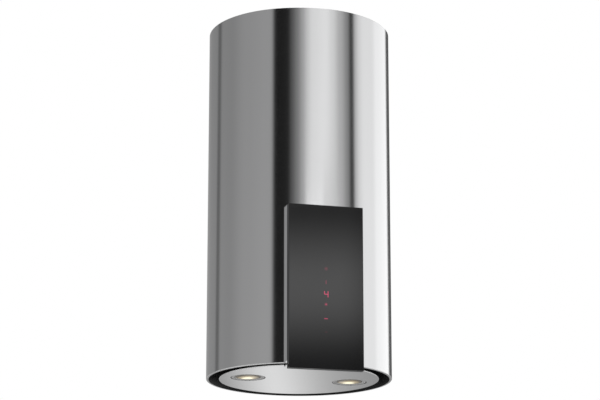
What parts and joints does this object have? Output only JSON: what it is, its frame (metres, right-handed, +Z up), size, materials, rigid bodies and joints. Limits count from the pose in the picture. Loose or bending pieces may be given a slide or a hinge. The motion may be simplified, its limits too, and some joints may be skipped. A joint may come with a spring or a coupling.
{
  "type": "island range hood",
  "caption": "Ceiling-hung stainless tube with a black glass touch panel on its front and a round suction panel with two spotlights that closes its lower end, over a grease filter and a blower.",
  "frame": {"origin": "on the tube's axis, in the ceiling plane that the ceiling plate's upper face lies in; the hood hangs below it", "axes": "+Z up along the tube's axis; the touch panel faces -Y; +X is to the right of someone who faces the touch panel"},
  "size_m": [0.39, 0.412, 0.7766],
  "materials": {
    "stainless": "polished stainless sheet with a faint vertical grain",
    "satin_steel": "satin stainless sheet",
    "zinc_steel": "zinc-coated steel",
    "black_paint": "matt black paint",
    "black_glass": "opaque black glass, polished",
    "black_plastic": "moulded, matt",
    "grey_plastic": "moulded, matt",
    "aluminium": "mill finish",
    "chrome": "bright",
    "clear_glass": "clear",
    "warm_bulb": "warm white envelope, lit",
    "board": "green circuit board",
    "core_steel": "dark sintered or laminated core",
    "cable": "black cable sheath"
  },
  "bodies": {
    "hood": {"outer_tube": "stainless", "panel_tray": "stainless", "ceiling_plate": "zinc_steel", "rail_rear_right": "zinc_steel", "rail_rear_left": "zinc_steel", "rail_front_left": "zinc_steel", "rail_front_right": "zinc_steel", "deck_plate": "zinc_steel", "outlet_collar": "zinc_steel", "flap_pin": "zinc_steel", "motor": "zinc_steel", "motor_bracket": "zinc_steel", "filter_ledge": "zinc_steel", "latch_keeper": "zinc_steel", "hinge_bracket_left": "zinc_steel", "hinge_bracket_right": "zinc_steel", "catch_bracket": "zinc_steel", "suction_ring": "black_paint", "chamber_plate": "black_paint", "control_glass": "black_glass", "blower_shell_left": "black_plastic", "blower_shell_right": "black_plastic", "inlet_grille": "black_plastic", "cable_gland": "black_plastic", "panel_frame": "black_plastic", "control_box": "grey_plastic", "control_box_lid": "grey_plastic", "capacitor": "grey_plastic", "power_board": "board", "touch_board": "board", "lamp_transformer": "core_steel", "motor_lead": "cable", "lamp_lead_fixed": "cable", "lamp_lead_hinge": "cable", "panel_lead": "cable"},
    "suction_panel": {"suction_disc": "satin_steel", "disc_backing": "zinc_steel", "lamp_trim_left": "chrome", "lamp_lens_left": "clear_glass", "lamp_reflector_left": "chrome", "lamp_can_left": "zinc_steel", "lamp_bulb_left": "warm_bulb", "lamp_trim_right": "chrome", "lamp_lens_right": "clear_glass", "lamp_reflector_right": "chrome", "lamp_can_right": "zinc_steel", "lamp_bulb_right": "warm_bulb", "lamp_wiring": "cable", "hinge_leaf_left": "zinc_steel", "hinge_leaf_right": "zinc_steel", "catch_magnet": "core_steel"},
    "fan": {"impeller": "grey_plastic", "motor_shaft": "zinc_steel"},
    "flap_front": {"flap_front": "aluminium"},
    "flap_rear": {"flap_rear": "aluminium"},
    "filter": {"filter_frame": "aluminium", "filter_mesh": "aluminium", "latch_spring": "zinc_steel"},
    "latch": {"filter_latch": "black_plastic"}
  },
  "joints": [
    {"name": "suction_panel_hinge", "type": "hinge", "parent": "hood", "child": "suction_panel", "pos_m": [0, 0.15, -0.751], "axis": [1, 0, 0], "range_deg": [0, 85], "deforming": ["lamp_lead_hinge"]},
    {"name": "filter_swing", "type": "hinge", "parent": "hood", "child": "filter", "pos_m": [0, 0.124, -0.699], "axis": [1, 0, 0], "range_deg": [0, 10]},
    {"name": "filter_latch_slide", "type": "slide", "parent": "filter", "child": "latch", "axis": [0, 1, 0], "range_m": [0, 0.005], "stiffness_N_per_m": 600, "deforming": ["latch_spring"]},
    {"name": "fan_spin", "type": "hinge", "parent": "hood", "child": "fan", "pos_m": [0, -0.053, -0.53], "axis": [1, 0, 0], "continuous": true},
    {"name": "front_flap_hinge", "type": "hinge", "parent": "hood", "child": "flap_front", "pos_m": [0, 0, -0.361], "axis": [-1, 0, 0], "range_deg": [0, 75]},
    {"name": "rear_flap_hinge", "type": "hinge", "parent": "hood", "child": "flap_rear", "pos_m": [0, 0, -0.361], "axis": [1, 0, 0], "range_deg": [0, 75]}
  ]
}
